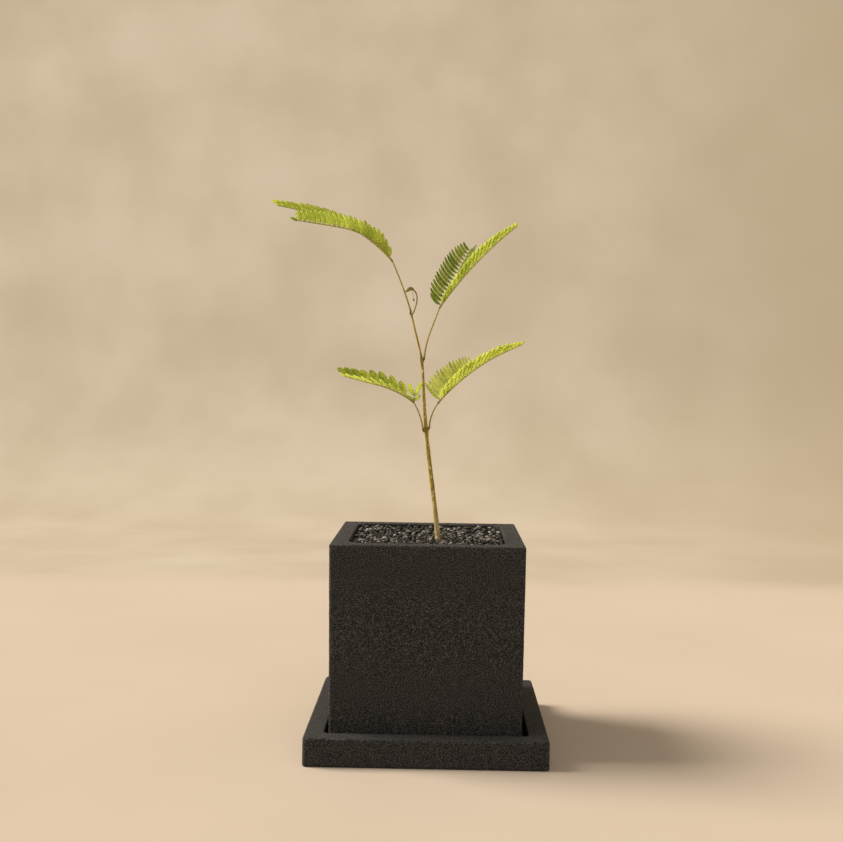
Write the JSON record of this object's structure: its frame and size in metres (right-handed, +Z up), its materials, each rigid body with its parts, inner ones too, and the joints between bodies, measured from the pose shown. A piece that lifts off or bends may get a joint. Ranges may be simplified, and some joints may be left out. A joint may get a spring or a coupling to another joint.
{
  "type": "potted cojoba arborea",
  "caption": "Seedling of cojoba arborea with feathery folded leaves on a thin woody stem, in a square charcoal pot with grit on a square saucer.",
  "frame": {"origin": "middle of the saucer's flat underside", "axes": "+Z up along the plant; -Y faces the picture's viewer; the leaves spread mostly along X"},
  "size_m": [0.1305, 0.1056, 0.2507],
  "materials": {
    "charcoal_ceramic": "unglazed charcoal stoneware with a fine sand texture, matte",
    "net": "matte black plastic",
    "soil": "moist potting mix of bark and peat, matte",
    "lava_grit": "rough porous black and grey lava grit, matte",
    "bark": "thin golden tan bark with pale specks, satin",
    "leaf": "thin living leaf, yellow-green and translucent below, darker and satin above",
    "young_leaf": "brown folded bud, satin"
  },
  "bodies": {
    "root": {"saucer": "charcoal_ceramic", "pot": "charcoal_ceramic", "drain_net": "net", "soil": "soil", "gravel": "lava_grit", "stem": "bark", "leaf_lower_left": "leaf", "leaf_lower_right": "leaf", "leaf_upper_right": "leaf", "leaf_top": "leaf", "young_leaf": "young_leaf"}
  },
  "joints": []
}
